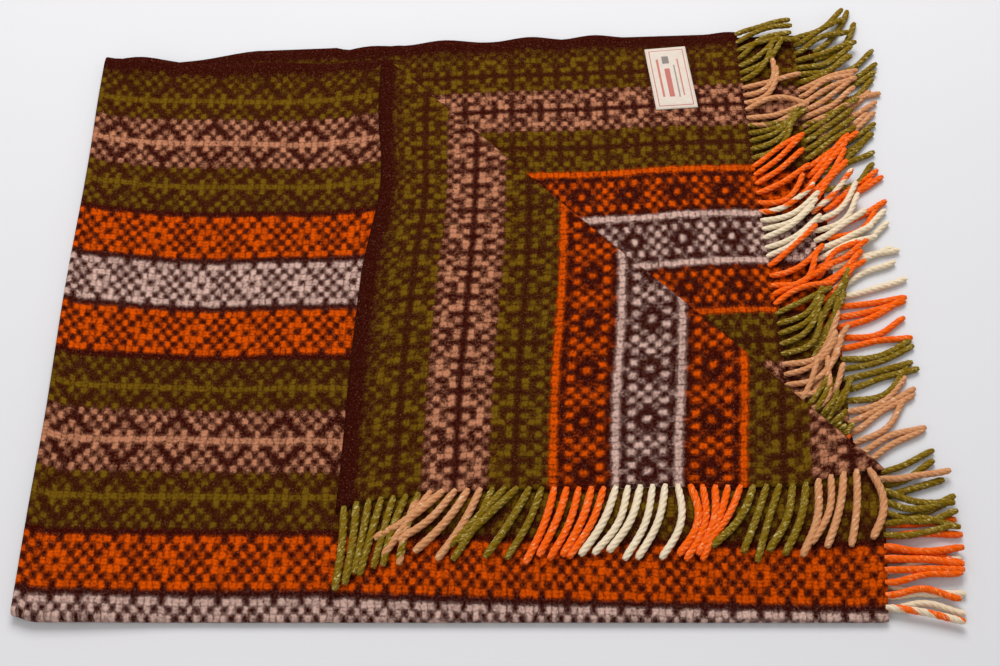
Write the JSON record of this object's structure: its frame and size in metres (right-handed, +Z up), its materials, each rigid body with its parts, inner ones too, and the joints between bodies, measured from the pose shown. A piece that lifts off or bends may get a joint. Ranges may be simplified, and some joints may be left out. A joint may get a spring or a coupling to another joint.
{
  "type": "folded wool blanket",
  "caption": "Fringed wool blanket in a striped double weave, folded into a flat stack with its top corner turned back, lying on a surface.",
  "frame": {"origin": "middle of the folded stack's footprint, fringe included, on the surface it lies on", "axes": "+Z up, +X along the stack towards the fringed ends, +Y away from the lengthwise fold"},
  "size_m": [1.0646, 0.8388, 0.0267],
  "materials": {
    "wool_cloth": "brushed double weave wool, matt",
    "wool_fringe": "soft twisted wool yarn",
    "label_tape": "smooth woven tape"
  },
  "bodies": {
    "root": {"cloth": "wool_cloth", "label": "label_tape", "fringe_bottom": "wool_fringe", "fringe_inner_lower": "wool_fringe", "fringe_inner_upper": "wool_fringe", "fringe_top": "wool_fringe", "fringe_flap": "wool_fringe"}
  },
  "joints": []
}
